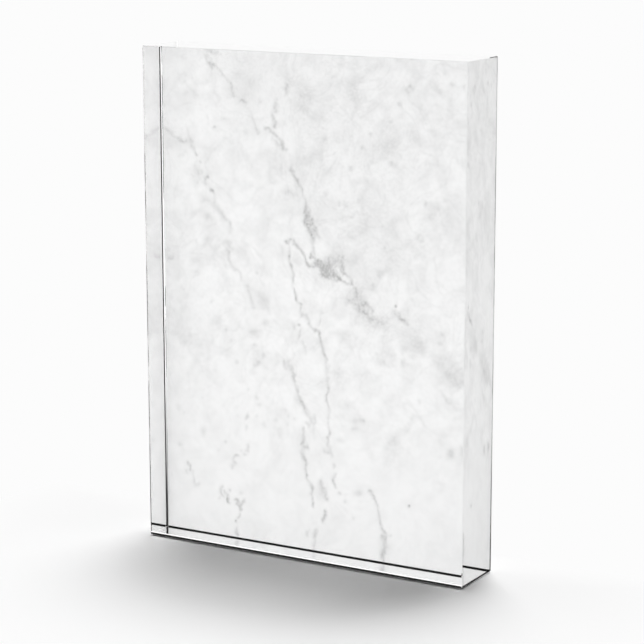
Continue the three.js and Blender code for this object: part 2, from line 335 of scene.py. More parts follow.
     (-2.5, 18.4, 0.4, 0.55), (-2.1, 17, 0.45, 0.6), (-2.1, 16.2, 0.5, 0.5)],
    [(-5.4, 38.4, 0.5, 0.3), (-4.4, 38.4, 0.8, 0.35)],
    [(1.6, 26.8, 0.8, 0.4), (1.8, 25.5, 1.2, 0.45), (2.1, 24.2, 1.4, 0.5), (2.7, 23.2, 1.2, 0.45),
     (3.2, 21.8, 0.8, 0.45), (4.1, 19.9, 0.7, 0.55)],
    [(3, 15.4, 0.6, 0.5), (3.1, 14.2, 0.7, 0.5), (2.6, 13, 0.8, 0.45), (2.3, 12.1, 0.8, 0.7)],
    [(-0.6, 8.2, 0.7, 0.3), (-1.1, 6.8, 0.7, 0.4), (-1.5, 5.7, 0.6, 0.6), (-1.4, 4, 0.6, 0.25),
     (-1.6, 2.5, 0.7, 0.3), (-1.8, 0.9, 0.7, 0.35)],
    [(-3.2, 8, 0.6, 0.2), (-4.3, 6.7, 0.6, 0.25), (-4.9, 5.4, 0.5, 0.3)],
    # the short vein at the bottom right
    [(21, 25.3, 0.6, 0.6), (21.8, 24.6, 0.6, 0.5), (22.6, 23.4, 0.6, 0.45), (23.4, 22, 0.5, 0.45),
     (24.3, 21, 0.5, 0.45), (24.8, 19.8, 0.5, 0.4), (24.7, 18, 0.5, 0.4), (24.6, 16.4, 0.5, 0.35),
     (25, 14.4, 0.6, 0.5), (25.7, 12.6, 0.6, 0.6), (26.5, 11.3, 0.6, 0.5), (27, 10.4, 0.5, 0.4)],
    [(26, 9.4, 0.7, 0.7), (26, 8.4, 0.5, 0.5)],
    [(27.1, 9.2, 0.6, 0.6), (27.2, 7.8, 0.7, 0.5), (27.2, 6, 0.9, 0.4), (26.9, 4.4, 0.8, 0.5),
     (26.1, 3, 0.8, 0.65), (26.2, 1.2, 0.8, 0.6)],
    [(27.3, 10.2, 0.4, 0.3), (29.6, 10.2, 0.4, 0.25)],
    # the brushed streak above it
    [(40, 54.6, 1, 0.08), (38.4, 54.2, 1, 0.1), (37.4, 53, 1, 0.13), (36.2, 51.3, 1.1, 0.12)],
    [(35.5, 49.8, 1.3, 0.14), (34, 48.8, 1.4, 0.15), (32.3, 47, 1.5, 0.15), (30.6, 45.6, 1.5, 0.15),
     (29.2, 43.5, 1.3, 0.15), (27, 41, 1.3, 0.12)],
    [(30, 44.5, 1.6, 0.18), (31.5, 43.5, 2.2, 0.18), (31.5, 41.5, 2.2, 0.18), (30, 39.5, 2.2, 0.16),
     (28, 38, 2, 0.14), (27.7, 36.5, 1.4, 0.14)],
    [(40.8, 54.3, 0.8, 0.12), (41.6, 53, 0.8, 0.12), (42.2, 51.5, 0.8, 0.12)],
    # the cluster at the bottom left
    [(-39.7, 18.4, 0.6, 0.45), (-40.4, 17.2, 0.7, 0.5), (-40.1, 16, 0.8, 0.5), (-39.4, 15, 0.6, 0.35)],
    [(-38.8, 17, 0.5, 0.4), (-37.9, 16.2, 0.5, 0.5), (-37.5, 15.3, 0.5, 0.5)],
    [(-37.4, 14.5, 0.55, 0.9), (-37.4, 13.2, 0.55, 0.9)],
    [(-34.4, 14.9, 0.5, 0.6), (-33.3, 14.8, 0.5, 0.7)],
    [(-33.8, 13.4, 0.6, 0.6), (-33, 13.9, 0.6, 0.6), (-32.7, 12.4, 0.7, 0.65), (-32.3, 11.2, 0.6, 0.85)],
    [(-30.6, 15, 0.6, 0.5), (-31.4, 13.9, 0.6, 0.6), (-32, 12.6, 0.6, 0.5)],
    [(-32.7, 9.7, 0.4, 0.45), (-32.9, 8.7, 0.45, 0.55), (-33.3, 7.9, 0.4, 0.4)],
    [(-34.3, 6.8, 0.5, 0.75), (-34.1, 6.8, 0.5, 0.7)],
    [(-33.9, 4.5, 0.6, 0.2), (-33.8, 2.6, 0.7, 0.5), (-33.6, 1.6, 0.7, 0.55)],
    [(-36, 27, 0.9, 0.3), (-34.6, 28, 0.8, 0.25), (-35.1, 29.8, 0.5, 0.25), (-34.4, 31, 0.5, 0.45),
     (-33.6, 31.3, 0.5, 0.6), (-32.6, 31, 0.5, 0.35)],
    [(-30.6, 32, 0.6, 0.4), (-29.9, 31.9, 0.5, 0.35)],
    [(-30.2, 33.7, 0.6, 0.3), (-29.2, 33.7, 0.7, 0.4), (-29.2, 35.8, 0.6, 0.35)],
    [(-29.7, 46, 0.5, 0.35), (-29, 46.8, 0.6, 0.4)],
    [(-29.9, 41.6, 0.5, 0.25), (-29.6, 43.2, 0.5, 0.3)],
    [(-54.9, 25.5, 0.6, 0.45), (-54, 25, 0.6, 0.65), (-53.6, 24.2, 0.5, 0.45)],
    [(-54.2, 23.4, 0.6, 0.5), (-53.6, 23.3, 0.5, 0.4)],
    [(-52.5, 23, 0.6, 0.2), (-52.4, 21, 0.6, 0.2), (-52.3, 19.4, 0.6, 0.28), (-51.8, 18, 0.7, 0.3),
     (-50.5, 17.7, 0.6, 0.2), (-49.6, 18.2, 0.5, 0.25)],
]

# Soft grey clouds: the middle as x and z, the half width and half height in millimetres, and how dark.
CLOUDS = [
    # the greyer upper middle
    (10, 150, 34, 26, 0.12), (20, 112, 26, 18, 0.1), (-29, 166, 8, 13, 0.12), (-14, 165, 12, 14, 0.06),
    (28, 147, 3.2, 2.6, 0.22), (14.5, 163, 2.6, 3.4, 0.18), (14, 168, 3, 3, 0.1), (24, 146.5, 2.2, 1.2, 0.15),
    (37, 151, 2.6, 1.8, 0.12), (38.5, 148.5, 1.8, 1.6, 0.12), (43.5, 124, 2, 1.5, 0.2),
    (46, 127, 1.8, 1.8, 0.12), (41.5, 113, 2.4, 1.6, 0.12), (51.5, 123, 2.5, 5, 0.14), (45, 152, 2, 2, 0.1),
    (-4, 164, 3.4, 3, 0.12), (-6.5, 158, 2.2, 3, 0.12), (9, 121.5, 2.4, 2, 0.12), (-14, 136, 1.6, 2, 0.12),
    (-22, 88.5, 2.4, 2.6, 0.18), (-8, 105, 2, 2.5, 0.12), (-14, 108, 2, 2, 0.12),
    # around the knot
    (2.5, 99.5, 3.5, 2.5, 0.12), (-3, 115, 2.2, 5, 0.08), (10, 108.5, 3, 3, 0.07),
    # around the tail of the main vein
    (17, 89, 4, 3.5, 0.2), (23, 86, 3.6, 2.2, 0.2), (28, 86.5, 3.6, 2.6, 0.2), (34, 83, 4, 2.6, 0.22),
    (39, 79.5, 3, 2.6, 0.2), (42, 77, 1.6, 1.8, 0.14), (49, 75.5, 2.4, 1.6, 0.16), (54, 71.5, 3, 2.8, 0.2),
    (14.5, 96.5, 3.2, 3.4, 0.15), (18, 91.5, 3.4, 4, 0.16), (21.5, 85.5, 3.4, 4.4, 0.12),
    (26, 78.5, 3.4, 4.6, 0.09), (33.5, 89, 2.6, 3.4, 0.08), (37.5, 84, 2.8, 3.8, 0.1),
    (58, 69, 2.5, 2.5, 0.15), (25, 72.3, 2.4, 1.6, 0.28), (28.5, 71.2, 2, 1.3, 0.15),
    (34.5, 77.6, 1.6, 1, 0.2), (37.5, 75, 1.6, 1, 0.2), (27, 93, 3, 3, 0.1), (39, 88, 3, 5, 0.1),
    # to the left
    (-31, 72, 2.2, 5, 0.1),
    (-49, 133.5, 3, 1.8, 0.25), (-50, 130, 2, 2.2, 0.15), (-46, 123.5, 2.2, 1.4, 0.2),
    (-45, 117.6, 1.8, 1.2, 0.3), (-46, 109.8, 1.6, 1.3, 0.3), (-42, 106, 2, 2.5, 0.16),
    (-38.5, 104.5, 1.6, 1.4, 0.18), (-31.5, 106, 2, 1.6, 0.14), (-41.2, 80, 1.8, 2.6, 0.22),
    (-26, 77, 2.2, 1.6, 0.22), (-25.5, 71, 2.4, 2.4, 0.2), (-25, 67.5, 2.4, 1.6, 0.26),
    (-26.5, 63, 1.8, 1.2, 0.2), (-21.6, 65, 1.6, 1.6, 0.14), (-61, 101.4, 1.2, 0.9, 0.3),
    (-50, 101.5, 1.6, 1, 0.16), (-50.5, 97.4, 2.2, 0.8, 0.18), (-55, 167.3, 3.4, 2.4, 0.14),
    (-38, 153, 2, 0.8, 0.16), (-21.6, 81.5, 1.4, 1.2, 0.3), (-54.2, 22, 1.6, 1, 0.12),
    (-48, 38.8, 1, 1.8, 0.25), (-58.5, 46, 0.9, 1.3, 0.22),
    # below
    (-8.5, 55, 1.5, 2, 0.22), (-8, 43, 1.8, 2, 0.16), (1.2, 21, 2.4, 2.4, 0.16), (8.8, 66.5, 2.6, 2, 0.18),
    (2.4, 62.5, 2.4, 2, 0.18), (9, 73, 3, 2, 0.1), (3.5, 83.5, 2.8, 2, 0.15), (15.5, 50.4, 2.6, 1.1, 0.2),
    (15, 47.2, 1.3, 0.9, 0.2), (9.2, 42.6, 1.6, 0.9, 0.2), (16.8, 24.5, 1.8, 1.2, 0.28),
    (28, 6, 1.8, 3, 0.16), (52.9, 43.3, 1.3, 1.5, 0.5), (52, 41.8, 1.5, 1.1, 0.25),
    (57.8, 43.8, 1.5, 1.7, 0.5), (57.5, 41.3, 1.5, 2.2, 0.14), (-15.2, 42, 1.1, 1.8, 0.22),
    (48.5, 29, 2, 1.4, 0.1), (-13.5, 50.4, 1.5, 0.7, 0.16),
]

# Small spots: the middle as x and z, the half width in millimetres, and how dark.
SPOTS = [
    (-41.9, 149.6, 0.45, 0.85), (36.7, 22.4, 0.45, 0.95), (37.1, 22.5, 0.35, 0.95), (-55.8, 22.6, 0.7, 0.35),
    (-41, 14.2, 0.8, 0.25), (-36.9, 17.8, 0.6, 0.4), (-32, 17.3, 0.8, 0.2), (-31.9, 33.2, 0.5, 0.3),
    (-28.5, 56.3, 0.6, 0.35), (-25.2, 53.5, 0.6, 0.3), (-24.6, 51.2, 0.8, 0.3), (-25.4, 47.4, 0.6, 0.25),
    (-22, 44, 0.8, 0.2), (-38.9, 35.6, 0.6, 0.35), (-41.4, 32, 0.6, 0.25), (-56, 44.6, 0.7, 0.2),
    (-58.3, 32.3, 0.9, 0.28), (-57.2, 91.2, 0.5, 0.25), (-56.1, 90.7, 0.45, 0.35), (-61.6, 87.3, 0.9, 0.3),
    (-61.4, 83.3, 0.8, 0.25), (-59.7, 82.6, 0.5, 0.3), (-43.8, 87, 0.6, 0.38), (-37.9, 77.6, 0.6, 0.4),
    (-36.1, 73.6, 0.9, 0.22), (-33.4, 66, 0.8, 0.25), (-24.9, 99.2, 0.6, 0.35), (-26, 73, 0.6, 0.42),
    (-22.4, 69.6, 1, 0.38), (-24.4, 66.5, 0.9, 0.5), (-25.8, 65.6, 0.8, 0.4), (-53.7, 161.3, 0.9, 0.2),
    (-50, 161.3, 0.9, 0.2), (-42, 157.8, 0.8, 0.2), (-29.4, 149.1, 1.2, 0.25), (-26.5, 137.6, 0.8, 0.2),
    (-23.2, 160, 0.9, 0.32), (-32.6, 168.3, 1.2, 0.2), (34.7, 166.2, 0.7, 0.4), (35.9, 167.7, 0.7, 0.38),
    (37.4, 167.1, 0.5, 0.25), (31.7, 161.4, 1, 0.4), (28.4, 155.8, 0.9, 0.26), (28.4, 141.5, 0.8, 0.3),
    (29.4, 140.9, 0.7, 0.28), (20.7, 151, 0.9, 0.3), (17.4, 146, 1, 0.28), (12.8, 138.6, 0.9, 0.3),
    (7.6, 147.5, 0.7, 0.2), (6.8, 143.6, 0.6, 0.22), (3, 148.5, 0.9, 0.2), (3.1, 129, 1.1, 0.24),
    (8.6, 126.1, 1, 0.25), (11.2, 126.1, 1, 0.26), (12.7, 122, 0.9, 0.2), (-12.3, 128, 1.3, 0.2),
    (45.3, 167.8, 1.4, 0.18), (47, 166.2, 1.2, 0.2), (49, 173, 1, 0.2), (51.5, 169, 0.9, 0.25),
    (55.4, 168.6, 0.8, 0.28), (41.8, 128.5, 0.8, 0.3), (38.9, 116.7, 1, 0.22), (40.6, 116, 0.8, 0.22),
    (26.8, 112.2, 0.8, 0.22), (24.4, 102.4, 1.1, 0.28), (25.8, 103, 0.7, 0.3), (22.2, 98.4, 1.3, 0.28),
    (26.8, 98, 1.3, 0.16), (49, 84.4, 0.8, 0.22), (47.9, 81, 0.8, 0.2), (33.6, 72.5, 1, 0.25),
    (18.3, 50.3, 0.7, 0.3), (11.6, 20.3, 0.8, 0.3), (11.1, 22.8, 0.7, 0.2), (14.9, 14.3, 0.6, 0.28),
    (-17.2, 46.4, 1, 0.24), (-12.4, 45.4, 0.8, 0.2), (-9.8, 48, 0.8, 0.24), (-12, 48.4, 0.5, 0.28),
    (40.1, 59.6, 0.6, 0.3), (-20, 135, 1, 0.1),
]


def new_material(name):
    """A node material, its tree, and the output node, which is the only one in it."""
    material = bpy.data.materials.new(name)
    material.use_nodes = True
    tree = material.node_tree
    tree.nodes.clear()
    output = tree.nodes.new("ShaderNodeOutputMaterial")
    return material, tree, output


def add_piece(name, mesh, material, slot, *nodes):
    """Puts a mesh of the object in the scene, for the CAD nodes that it stands for."""
    piece = bpy.data.objects.new(name, mesh)
    bpy.context.scene.collection.objects.link(piece)
    mesh.materials.append(material)
    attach(piece, "root")
    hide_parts(*nodes)
    return piece


# Node helpers


def noise_node(tree, scale, detail, distortion=0.0):
    """Noise over the object's own coordinates, in features per metre."""
    place = tree.nodes.new("ShaderNodeTexCoord")
    noise = tree.nodes.new("ShaderNodeTexNoise")
    noise.inputs["Scale"].default_value = scale
    noise.inputs["Detail"].default_value = detail
    noise.inputs["Distortion"].default_value = distortion
    tree.links.new(place.outputs["Object"], noise.inputs["Vector"])
    return noise.outputs["Fac"]


def map_range(tree, value, low, high, to_low, to_high):
    node = tree.nodes.new("ShaderNodeMapRange")
    node.inputs["From Min"].default_value = low
    node.inputs["From Max"].default_value = high
    node.inputs["To Min"].default_value = to_low
    node.inputs["To Max"].default_value = to_high
    tree.links.new(value, node.inputs["Value"])
    return node.outputs["Result"]


def noise_look(tree, scale, detail, span, look, distortion=0.0):
    """Noise, of which a span is stretched to the two values of a look."""
    return map_range(tree, noise_node(tree, scale, detail, distortion), *span, *look)


def place_along(tree, axis):
    """Where a place of the object lies along one axis."""
    place = tree.nodes.new("ShaderNodeTexCoord")
    axes = tree.nodes.new("ShaderNodeSeparateXYZ")
    tree.links.new(place.outputs["Object"], axes.inputs["Vector"])
    return axes.outputs[axis]


def calculate(tree, operation, first, second):
    """A math node. Either input may be a number or another node's output."""
    node = tree.nodes.new("ShaderNodeMath")
    node.operation = operation
    for socket, value in zip(node.inputs, (first, second)):
        if isinstance(value, (int, float)):
            socket.default_value = value
        else:
            tree.links.new(value, socket)
    return node.outputs["Value"]


def mix_colour(tree, share, first, second):
    node = tree.nodes.new("ShaderNodeMix")
    node.data_type = "RGBA"
    tree.links.new(share, node.inputs["Factor"])
    node.inputs["A"].default_value = (*first, 1)
    node.inputs["B"].default_value = (*second, 1)
    return node.outputs["Result"]


def mix_values(tree, share, first, second):
    node = tree.nodes.new("ShaderNodeMix")
    node.data_type = "FLOAT"
    tree.links.new(share, node.inputs["Factor"])
    tree.links.new(first, node.inputs["A"])
    tree.links.new(second, node.inputs["B"])
    return node.outputs["Result"]


def mix_shader(tree, share, first, second):
    node = tree.nodes.new("ShaderNodeMixShader")
    tree.links.new(share, node.inputs["Fac"])
    tree.links.new(first, node.inputs[1])
    tree.links.new(second, node.inputs[2])
    return node.outputs["Shader"]


def read_attribute(tree, name):
    node = tree.nodes.new("ShaderNodeAttribute")
    node.attribute_name = name
    return node.outputs["Fac"]


def add_bump(tree, shader, scale, height):
    """Lets noise stand up from the surface by so many metres."""
    bump = tree.nodes.new("ShaderNodeBump")
    bump.inputs["Distance"].default_value = height
    tree.links.new(noise_node(tree, scale, BUMP_DETAIL), bump.inputs["Height"])
    tree.links.new(bump.outputs["Normal"], shader.inputs["Normal"])


# Camera


def add_camera():
    data = bpy.data.cameras.new("camera")
    data.sensor_width = SENSOR_MM
    data.lens = FOCAL_PIXELS / FRAME_PIXELS * SENSOR_MM
    data.clip_start = 0.01
    data.clip_end = 50
    camera = bpy.data.objects.new("camera", data)
    bpy.context.scene.collection.objects.link(camera)
    turn = (
        Matrix.Rotation(CAMERA_YAW, 4, "Z")
        @ Matrix.Rotation(CAMERA_PITCH, 4, "X")
        @ Matrix.Rotation(math.pi / 2, 4, "X")
        @ Matrix.Rotation(CAMERA_ROLL, 4, "Z")
    )
    camera.matrix_world = Matrix.Translation(CAMERA_PLACE) @ turn
    bpy.context.scene.camera = camera


# The clear slab


def band_look(side, middle, axis, low, high, bands):
    """The look of the band of a side that a place lies in, beside the slab's nearer end along an axis."""
    from_low, from_high = middle[axis] - low[axis], high[axis] - middle[axis]
    beside = SIDE_NAMES[axis][from_high < from_low]
    for end, look in zip(BAND_ENDS, bands.get((side, beside), ())):
        if min(from_low, from_high) < end:
            return look
    return 0.0


def edge_look(face, low, high, bevels, bands):
    """The look of a face of the slab: its bevel's or corner's, or that of the strongest band there."""
    facing = [axis for axis in range(3) if abs(face.normal[axis]) > FACING]
    names = tuple(SIDE_NAMES[axis][face.normal[axis] > 0] for axis in facing)
    middle = face.calc_center_median()
    if names == ("front", "top") and middle.x < low.x + FRONT_DASH:
        names = ("front", "dash")
    if names == ("right", "top") and middle.y > high.y - SIDE_DASH:
        names = ("right", "dash")
    if len(facing) > 1:
        return bevels.get(names, 0.0)
    return max(band_look(names[0], middle, axis, low, high, bands) for axis in range(3) if axis not in facing)


def light_held(face):
    """How much of the block's light a face of the slab holds back from the floor."""
    axis = max(range(3), key=lambda axis: abs(face.normal[axis]))
    return LIGHT_HELD.get(SIDE_NAMES[axis][face.normal[axis] > 0], 0.0)


def slab_shape(low, high):
    """The slab, with a flat bevel along all its edges. Its sides are cut into bands beside the bevels."""
    shape = bmesh.new()
    bmesh.ops.create_cube(shape, size=1)
    fit = Matrix.Translation((low + high) / 2) @ Matrix.Diagonal((*(high - low), 1))
    bmesh.ops.transform(shape, matrix=fit, verts=shape.verts)
    bmesh.ops.bevel(shape, geom=shape.edges[:], offset=EDGE_BEVEL, segments=1, affect="EDGES")
    bmesh.ops.recalc_face_normals(shape, faces=shape.faces)
    cuts = [(axis, low[axis] + end) for axis in range(3) for end in BAND_ENDS]
    cuts += [(axis, high[axis] - end) for axis in range(3) for end in BAND_ENDS]
    for axis, place in cuts + [(0, low.x + FRONT_DASH), (1, high.y - SIDE_DASH)]:
        across = Vector([float(other == axis) for other in range(3)])
        everything = shape.verts[:] + shape.edges[:] + shape.faces[:]
        bmesh.ops.bisect_plane(shape, geom=everything, plane_co=across * place, plane_no=across)
    shape.normal_update()
    return shape


def add_slab():
    """The slab, with the looks of its faces as attributes."""
    low, high = (Vector(corner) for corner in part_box("acrylic_block"))
    high.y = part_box("marble_print")[0][1] + OPTICAL_CONTACT
    shape = slab_shape(low, high)
    looks = {}
    for name, (bevels, bands) in EDGE_LOOKS.items():
        looks[name] = [edge_look(face, low, high, bevels, bands) for face in shape.faces]
    looks["light_held"] = [light_held(face) for face in shape.faces]
    looks["top"] = [float(face.normal.z > 1 - FACING) for face in shape.faces]
    mesh = bpy.data.meshes.new("clear_block")
    shape.to_mesh(mesh)
    shape.free()
    for name, values in looks.items():
        mesh.attributes.new(name, "FLOAT", "FACE").data.foreach_set("value", values)
    return add_piece("clear_block", mesh, clear_acrylic(), "clear_acrylic", "acrylic_block", "optical_film")


def clear_acrylic():
    """Polished clear acrylic, with painted shade and painted highlights on its cut edges, as the slab's
    attributes say.
    """
    material, tree, output = new_material("clear_acrylic")
    glass = tree.nodes.new("ShaderNodeBsdfPrincipled")
    tint = mix_colour(tree, noise_node(tree, **CLEAR_TINT), *CLEAR_TINTS)
    tree.links.new(tint, glass.inputs["Base Color"])
    rough = noise_look(tree, **POLISH)
    tree.links.new(rough, glass.inputs["Roughness"])
    add_bump(tree, glass, POLISH_WAVE_SCALE, POLISH_WAVE_HEIGHT)
    glass.inputs["IOR"].default_value = BLOCK_IOR
    glass.inputs["Transmission Weight"].default_value = 1

    # Painted shade and painted highlights on the cut edges, at the foot and above it, and where noise breaks
    # the shade up
    raised = map_range(tree, place_along(tree, "Z"), *EDGE_LOW_Z, 0, 1)
    dark = mix_values(tree, raised, read_attribute(tree, "painted_shade_foot"), read_attribute(tree, "painted_shade_upper"))
    white = mix_values(tree, raised, read_attribute(tree, "painted_highlight_foot"), read_attribute(tree, "painted_highlight_upper"))
    broken = calculate(tree, "MULTIPLY", noise_look(tree, **EDGE_BREAKS), read_attribute(tree, "edge_broken"))
    kept = calculate(tree, "SUBTRACT", 1.0, calculate(tree, "MULTIPLY", broken, raised))
    dark = calculate(tree, "MULTIPLY", dark, kept)
    # The edge shader: black for the painted shade, white with a little glow for the painted highlight
    edge = tree.nodes.new("ShaderNodeBsdfPrincipled")
    edge_colour = mix_colour(tree, white, (PAINTED_SHADE_BLACK,) * 3, (PAINTED_HIGHLIGHT_WHITE,) * 3)
    tree.links.new(edge_colour, edge.inputs["Base Color"])
    tree.links.new(calculate(tree, "MULTIPLY", white, PAINTED_GLOW), edge.inputs["Emission Strength"])
    edge.inputs["Emission Color"].default_value = (1, 1, 1, 1)
    edge.inputs["Roughness"].default_value = EDGE_ROUGHNESS
    edge.inputs["Specular IOR Level"].default_value = 0

    # The top's sheen
    mirror = tree.nodes.new("ShaderNodeBsdfAnisotropic")
    mirror.inputs["Color"].default_value = (1, 1, 1, 1)
    tree.links.new(rough, mirror.inputs["Roughness"])
    slant = tree.nodes.new("ShaderNodeLayerWeight")
    slant.inputs["Blend"].default_value = 0.5
    sheen = map_range(tree, slant.outputs["Facing"], *TOP_SHEEN_FACING, 0, TOP_SHEEN)
    sheen = calculate(tree, "MULTIPLY", sheen, read_attribute(tree, "top"))
    clear = mix_shader(tree, sheen, glass.outputs["BSDF"], mirror.outputs["BSDF"])
    solid = mix_shader(tree, calculate(tree, "MAXIMUM", dark, white), clear, edge.outputs["BSDF"])

    # The light that the sides hold back from the floor, and the edges with painted shade, which block the light
    # of the lamps
    path = tree.nodes.new("ShaderNodeLightPath")
    side = tree.nodes.new("ShaderNodeNewGeometry")
    outside = calculate(tree, "SUBTRACT", 1.0, side.outputs["Backfacing"])
    held = calculate(tree, "MULTIPLY", outside, path.outputs["Is Diffuse Ray"])
    held = calculate(tree, "MULTIPLY", held, read_attribute(tree, "light_held"))
    black = tree.nodes.new("ShaderNodeBsdfDiffuse")
    black.inputs["Color"].default_value = (0, 0, 0, 1)
    dimmed = mix_shader(tree, held, solid, black.outputs["BSDF"])
    through = tree.nodes.new("ShaderNodeBsdfTransparent")
    shadow = mix_shader(tree, dark, through.outputs["BSDF"], black.outputs["BSDF"])
    shown = mix_shader(tree, path.outputs["Is Shadow Ray"], dimmed, shadow)
    tree.links.new(shown, output.inputs["Surface"])
    return material


# The marble print


def value_noise(x, z, cell, seed):
    """Smooth noise from 0 to 1, with one random value to each cell of this many millimetres."""
    values = np.random.default_rng(seed).random((NOISE_VALUES, NOISE_VALUES))
    column, row = x / cell, z / cell
    left, low = np.floor(column).astype(int), np.floor(row).astype(int)
    across, up = smooth(column - left), smooth(row - low)
    right, high = (left + 1) % NOISE_VALUES, (low + 1) % NOISE_VALUES
    left, low = left % NOISE_VALUES, low % NOISE_VALUES
    at_left = values[left, low] * (1 - up) + values[left, high] * up
    at_right = values[right, low] * (1 - up) + values[right, high] * up
    return at_left * (1 - across) + at_right * across


def smooth(share):
    """Eases a share from 0 to 1 at both its ends."""
    return share * share * (3 - 2 * share)


def layered_noise(x, z, cell, layers, seed):
    """Noise with finer and fainter layers on it, each half of the one before."""
    total = sum(value_noise(x, z, cell / 2**layer, seed + layer) / 2**layer for layer in range(layers))
    return total / sum(1 / 2**layer for layer in range(layers))


def drift(x, z, reach, cell, layers, seed):
    """How far noise moves each place, by up to half the reach to each side."""
    return reach * (layered_noise(x, z, cell, layers, seed) - 0.5)


def patches(x, z, low, high, cell, layers, seed):
    """Noise between a low and a high value."""
    return low + (high - low) * layered_noise(x, z, cell, layers, seed)


def ramp(value, start, end):
    """The share, from 0 to 1, of the way from the start to the end."""
    return np.clip((value - start) / (end - start), 0, 1)


def vein_darkness(x, z, points):
    """How dark one vein makes each place: it fades off to each side of the line through its points."""
    dark = np.zeros_like(x)
    for (x1, z1, width1, dark1), (x2, z2, width2, dark2) in zip(points, points[1:]):
        reach = VEIN_ENDS * max(width1, width2)
        near = (x > min(x1, x2) - reach) & (x < max(x1, x2) + reach)
        near &= (z > min(z1, z2) - reach) & (z < max(z1, z2) + reach)
        run_x, run_z = x2 - x1, z2 - z1
        along = ((x[near] - x1) * run_x + (z[near] - z1) * run_z) / (run_x**2 + run_z**2)
        along = np.clip(along, 0, 1)
        off = np.hypot(x[near] - x1 - along * run_x, z[near] - z1 - along * run_z)
        width = width1 + (width2 - width1) * along
        depth = dark1 + (dark2 - dark1) * along
        dark[near] = np.maximum(dark[near], depth * np.exp(-((off / width) ** 2)))
    return dark


def blot_darkness(x, z, middle_x, middle_z, half_width, half_height, depth):
    off = ((x - middle_x) / half_width) ** 2 + ((z - middle_z) / half_height) ** 2
    return depth * np.exp(-off)


def marble(x, z):
    """How dark the marble is, from 0 to 1, at places given in millimetres."""
    x, z = (x * part_x + z * part_z + shift for part_x, part_z, shift in (DRAWN_X, DRAWN_Z))
    x_bent = x + drift(x, z, **VEIN_WANDER, seed=11) + drift(x, z, **VEIN_FRAY, seed=31)
    z_bent = z + drift(x, z, **VEIN_WANDER, seed=21) + drift(x, z, **VEIN_FRAY, seed=41)
    light = np.ones_like(x)
    for points in VEINS:
        light *= 1 - vein_darkness(x_bent, z_bent, points)
    for middle_x, middle_z, half_width, depth in SPOTS:
        light *= 1 - blot_darkness(x_bent, z_bent, middle_x, middle_z, half_width, half_width, depth)
    veins = (1 - light) * patches(x, z, **VEIN_PATCHES)
    veins *= 1 - LEFT_FAINTER * ramp(x, *LEFT_FAINTER_X) * ramp(z, *LEFT_FAINTER_Z)
    light = np.ones_like(x)
    for cloud in CLOUDS:
        light *= 1 - blot_darkness(x_bent, z_bent, *cloud)
    clouds = (1 - light) * patches(x, z, **CLOUD_PATCHES)
    return 1 - (1 - np.clip(veins, 0, 1)) * (1 - np.clip(clouds, 0, 1))


def add_print():
    """The print as a thin closed sheet, whose face is a fine grid that carries the veins."""
    low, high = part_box("marble_print")
    columns = round((high[0] - low[0]) / PRINT_CELL)
    rows = round((high[2] - low[2]) / PRINT_CELL)
    x, z = np.meshgrid(np.linspace(low[0], high[0], columns + 1), np.linspace(low[2], high[2], rows + 1))
    face = np.stack([x.ravel(), np.full(x.size, low[1]), z.ravel()], axis=1)
    corners = ((low[0], low[2]), (high[0], low[2]), (high[0], high[2]), (low[0], high[2]))
    back = [(corner_x, high[1], corner_z) for corner_x, corner_z in corners]
    number = np.arange(x.size).reshape(x.shape)
    around = (number[:-1, :-1], number[:-1, 1:], number[1:, 1:], number[1:, :-1])
    cells = np.stack(around, axis=-1).reshape(-1, 4)
    first = x.size
    rims = [
        [first, first + 1] + number[0, ::-1].tolist(),
        [first + 1, first + 2] + number[::-1, -1].tolist(),
        [first + 2, first + 3] + number[-1, :].tolist(),
        [first + 3, first] + number[:, 0].tolist(),
        [first + 3, first + 2, first + 1, first],
    ]
    mesh = bpy.data.meshes.new("marble_face")
    mesh.from_pydata(face.tolist() + back, [], cells.tolist() + rims)
    dark = np.append(marble(x.ravel() / MM, z.ravel() / MM), np.zeros(len(back)))
    mesh.attributes.new("marble", "FLOAT", "POINT").data.foreach_set("value", dark)
    return add_piece("marble_face", mesh, marble_paper(), "marble_paper", "marble_print")


def marble_paper():
    """Satin paper, printed with the grainy veins and with a fainter mottling between them."""
    material, tree, output = new_material("marble_paper")
    paint = tree.nodes.new("ShaderNodeBsdfPrincipled")
    noise = noise_node(tree, STREAKS_SCALE, STREAKS_DETAIL, STREAKS_DISTORTION)
    off_middle = calculate(tree, "ABSOLUTE", calculate(tree, "SUBTRACT", noise, 0.5), 0)
    streaks = map_range(tree, off_middle, 0, STREAKS_WIDTH, STREAKS_GREY, 0)
    mottle = calculate(tree, "ADD", noise_look(tree, **MOTTLE), streaks)
    mottle = calculate(tree, "ADD", mottle, noise_look(tree, **PAPER_GRAIN))
    strength = map_range(tree, place_along(tree, "Z"), *MOTTLE_LOW_Z, MOTTLE_LOW_SHARE, 1)
    mottle = calculate(tree, "MULTIPLY", mottle, strength)
    veins = calculate(tree, "MULTIPLY", read_attribute(tree, "marble"), noise_look(tree, **VEIN_GRAIN))
    dark = calculate(tree, "ADD", veins, mottle)
    colour = mix_colour(tree, dark, (PRINT_WHITE,) * 3, (VEIN_GREY,) * 3)
    tree.links.new(colour, paint.inputs["Base Color"])
    tree.links.new(noise_look(tree, **PAPER_SATIN), paint.inputs["Roughness"])
    add_bump(tree, paint, PAPER_BUMP_SCALE, PAPER_BUMP_HEIGHT)
    tree.links.new(paint.outputs["BSDF"], output.inputs["Surface"])
    return material


# The films and the backing


